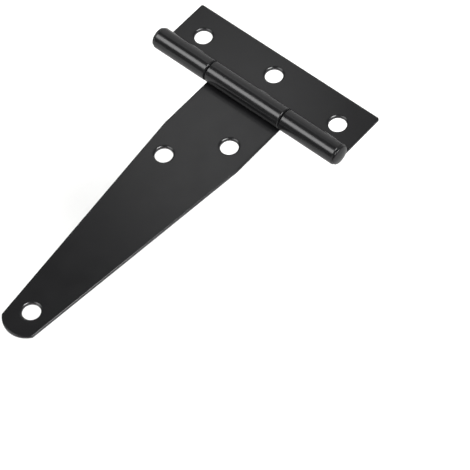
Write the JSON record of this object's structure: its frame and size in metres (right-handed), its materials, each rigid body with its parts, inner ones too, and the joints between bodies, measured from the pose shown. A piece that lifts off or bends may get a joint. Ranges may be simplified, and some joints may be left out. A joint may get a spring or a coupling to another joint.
{
  "type": "t hinge",
  "caption": "Flat black T hinge: an oblong frame plate and a long tapering strap, rolled around one headed pin.",
  "frame": {"origin": "foot of the pin axis on the mounting plane, halfway along the pin", "axes": "+X along the pin, +Y towards the frame plate with the strap towards -Y, +Z out of the front faces, away from the mounting surface"},
  "size_m": [0.0788, 0.1327, 0.0076],
  "materials": {
    "frame_plate": "gloss",
    "strap": "gloss",
    "hinge_pin": "gloss"
  },
  "bodies": {
    "frame": {"frame_plate": "frame_plate", "hinge_pin": "hinge_pin"},
    "strap": {"strap": "strap"}
  },
  "joints": [
    {"name": "strap_swing", "type": "hinge", "parent": "frame", "child": "strap", "pos_m": [0, 0, 0.0038], "axis": [-1, 0, 0], "range_deg": [-90, 180]}
  ]
}
